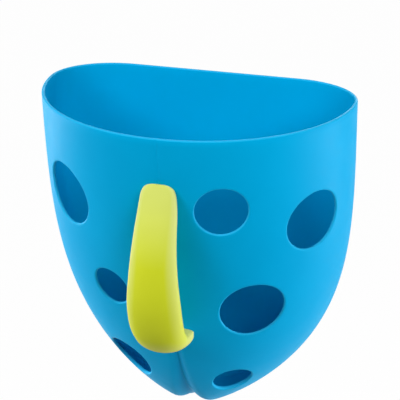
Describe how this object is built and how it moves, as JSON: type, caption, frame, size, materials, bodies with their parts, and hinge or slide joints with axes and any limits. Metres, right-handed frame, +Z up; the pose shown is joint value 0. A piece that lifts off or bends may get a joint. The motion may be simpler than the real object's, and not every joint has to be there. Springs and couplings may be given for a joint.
{
  "type": "bath toy organizer",
  "caption": "Wall-hung scoop bin for bath toys: blue open shell with round drain holes, bowed lime handle, hanging bracket and suction cups.",
  "frame": {"origin": "on the wall plane, behind the middle of the bracket plate", "axes": "+Z up, +Y into the wall, -Y out to the room, +X to the right seen from the room"},
  "size_m": [0.252, 0.2007, 0.2831],
  "materials": {
    "blue_plastic": "satin moulded",
    "lime_plastic": "satin moulded",
    "clear_rubber": "translucent soft vinyl",
    "white_rubber": "matt",
    "steel": "stainless"
  },
  "bodies": {
    "wall_mount": {"wall_bracket": "blue_plastic", "suction_cup_left": "clear_rubber", "suction_cup_right": "clear_rubber"},
    "scoop": {"scoop_body": "blue_plastic", "handle": "lime_plastic", "handle_screw_upper": "steel", "handle_screw_lower": "steel", "screw_cap_upper": "blue_plastic", "screw_cap_lower": "blue_plastic", "wall_bumper_left": "white_rubber", "wall_bumper_right": "white_rubber"}
  },
  "joints": [
    {"name": "lift_off", "type": "slide", "parent": "wall_mount", "child": "scoop", "axis": [0, 0, 1], "range_m": [0, 0.045]}
  ]
}
